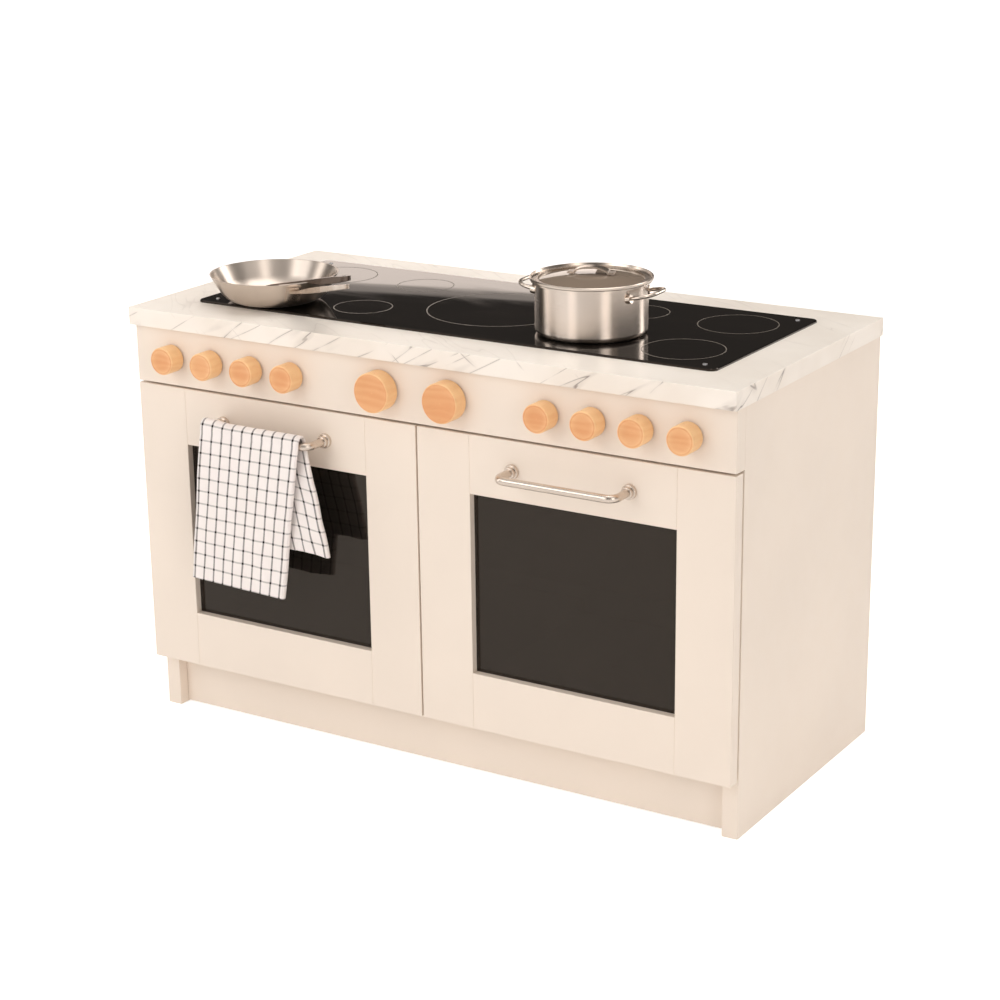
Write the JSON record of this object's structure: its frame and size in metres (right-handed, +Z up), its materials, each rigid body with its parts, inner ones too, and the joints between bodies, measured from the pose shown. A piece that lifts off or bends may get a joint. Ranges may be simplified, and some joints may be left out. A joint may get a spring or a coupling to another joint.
{
  "type": "toy kitchen",
  "caption": "Child-height toy range kitchen: painted cabinet with drop-down oven doors, turning knobs, a marble-look top with hob, and a pot, a pan, a turner and a towel.",
  "frame": {"origin": "centre of the whole object's footprint, on the floor", "axes": "+X to the right of someone facing the oven doors, +Y from the doors towards the back, +Z up"},
  "size_m": [0.906, 0.4734, 0.6688],
  "materials": {
    "inner_board": "melamine-faced board",
    "marble_laminate": "pale marble-pattern laminate",
    "black_glass": "gloss black with fine grey rings",
    "tinted_acrylic": "gloss dark tint",
    "beech": "satin turned hardwood",
    "satin_steel": "satin",
    "pan_steel": "fine brushed",
    "dark_steel": "satin dark",
    "zinc_steel": "bright zinc",
    "clear_glass": "clear",
    "white_plastic": "matte",
    "grey_rubber": "matte",
    "dowel_wood": "raw",
    "checked_cotton": "woven off-white with a dark windowpane check",
    "painted_board": "satin cream paint on board"
  },
  "bodies": {
    "cabinet": {"side_panel_left": "painted_board", "side_panel_right": "painted_board", "centre_divider": "inner_board", "base_panel": "inner_board", "oven_roof_panel": "inner_board", "back_panel": "inner_board", "plinth": "painted_board", "front_top_rail": "inner_board", "rear_top_rail": "inner_board", "oven_shelf_left": "inner_board", "oven_shelf_right": "inner_board", "shelf_pins": "zinc_steel", "control_fascia": "painted_board", "worktop": "marble_laminate", "hob_glass": "black_glass", "hob_screws": "zinc_steel", "carcass_dowels": "dowel_wood", "carcass_screws": "zinc_steel", "hinge_base_leaves": "zinc_steel", "hinge_pins": "zinc_steel", "magnetic_catches": "white_plastic", "door_bumpers": "grey_rubber", "knob_spindles": "white_plastic"},
    "left_door": {"left_door_inner_stile": "painted_board", "left_door_outer_stile": "painted_board", "left_door_top_rail": "painted_board", "left_door_bottom_rail": "painted_board", "left_door_window": "tinted_acrylic", "left_door_window_beads": "painted_board", "left_door_handle": "satin_steel", "left_door_screws": "zinc_steel", "left_door_hinge_leaves": "zinc_steel"},
    "right_door": {"right_door_inner_stile": "painted_board", "right_door_outer_stile": "painted_board", "right_door_top_rail": "painted_board", "right_door_bottom_rail": "painted_board", "right_door_window": "tinted_acrylic", "right_door_window_beads": "painted_board", "right_door_handle": "satin_steel", "right_door_screws": "zinc_steel", "right_door_hinge_leaves": "zinc_steel"},
    "knob_01_body": {"knob_01": "beech"},
    "knob_02_body": {"knob_02": "beech"},
    "knob_03_body": {"knob_03": "beech"},
    "knob_04_body": {"knob_04": "beech"},
    "knob_05_body": {"knob_05": "beech"},
    "knob_06_body": {"knob_06": "beech"},
    "knob_07_body": {"knob_07": "beech"},
    "knob_08_body": {"knob_08": "beech"},
    "knob_09_body": {"knob_09": "beech"},
    "knob_10_body": {"knob_10": "beech"},
    "pot": {"pot_body": "pan_steel", "pot_handles": "satin_steel"},
    "lid": {"lid_rim": "satin_steel", "lid_glass": "clear_glass", "lid_handle": "satin_steel"},
    "pan": {"pan_body": "pan_steel", "pan_handle": "satin_steel"},
    "turner_body": {"turner": "dark_steel"},
    "towel_body": {"towel": "checked_cotton"}
  },
  "joints": [
    {"name": "left_door_swing", "type": "hinge", "parent": "cabinet", "child": "left_door", "pos_m": [-0.225, -0.16032, 0.076], "axis": [1, 0, 0], "range_deg": [0, 90]},
    {"name": "right_door_swing", "type": "hinge", "parent": "cabinet", "child": "right_door", "pos_m": [0.225, -0.16032, 0.076], "axis": [1, 0, 0], "range_deg": [0, 90]},
    {"name": "knob_01_turn", "type": "hinge", "parent": "cabinet", "child": "knob_01_body", "pos_m": [-0.388, -0.18032, 0.517], "axis": [0, -1, 0], "continuous": true},
    {"name": "knob_02_turn", "type": "hinge", "parent": "cabinet", "child": "knob_02_body", "pos_m": [-0.3225, -0.18032, 0.517], "axis": [0, -1, 0], "continuous": true},
    {"name": "knob_03_turn", "type": "hinge", "parent": "cabinet", "child": "knob_03_body", "pos_m": [-0.257, -0.18032, 0.517], "axis": [0, -1, 0], "continuous": true},
    {"name": "knob_04_turn", "type": "hinge", "parent": "cabinet", "child": "knob_04_body", "pos_m": [-0.1915, -0.18032, 0.517], "axis": [0, -1, 0], "continuous": true},
    {"name": "knob_05_turn", "type": "hinge", "parent": "cabinet", "child": "knob_05_body", "pos_m": [-0.0514, -0.18032, 0.517], "axis": [0, -1, 0], "continuous": true},
    {"name": "knob_06_turn", "type": "hinge", "parent": "cabinet", "child": "knob_06_body", "pos_m": [0.0514, -0.18032, 0.517], "axis": [0, -1, 0], "continuous": true},
    {"name": "knob_07_turn", "type": "hinge", "parent": "cabinet", "child": "knob_07_body", "pos_m": [0.1915, -0.18032, 0.517], "axis": [0, -1, 0], "continuous": true},
    {"name": "knob_08_turn", "type": "hinge", "parent": "cabinet", "child": "knob_08_body", "pos_m": [0.257, -0.18032, 0.517], "axis": [0, -1, 0], "continuous": true},
    {"name": "knob_09_turn", "type": "hinge", "parent": "cabinet", "child": "knob_09_body", "pos_m": [0.3225, -0.18032, 0.517], "axis": [0, -1, 0], "continuous": true},
    {"name": "knob_10_turn", "type": "hinge", "parent": "cabinet", "child": "knob_10_body", "pos_m": [0.388, -0.18032, 0.517], "axis": [0, -1, 0], "continuous": true},
    {"name": "pot_lift", "type": "slide", "parent": "cabinet", "child": "pot", "axis": [0, 0, 1], "range_m": [0, 0.2]},
    {"name": "lid_lift", "type": "slide", "parent": "pot", "child": "lid", "axis": [0, 0, 1], "range_m": [0, 0.15]},
    {"name": "pan_lift", "type": "slide", "parent": "cabinet", "child": "pan", "axis": [0, 0, 1], "range_m": [0, 0.2]},
    {"name": "turner_lift", "type": "slide", "parent": "pan", "child": "turner_body", "axis": [0, 0, 1], "range_m": [0, 0.12]},
    {"name": "towel_hang", "type": "hinge", "parent": "left_door", "child": "towel_body", "pos_m": [-0.225, -0.22032, 0.4365], "axis": [1, 0, 0], "range_deg": [-90, 0], "deforming": ["towel"]}
  ],
  "couplings": [
    {"joint": "towel_hang", "follows": "left_door_swing", "ratio": -1}
  ]
}
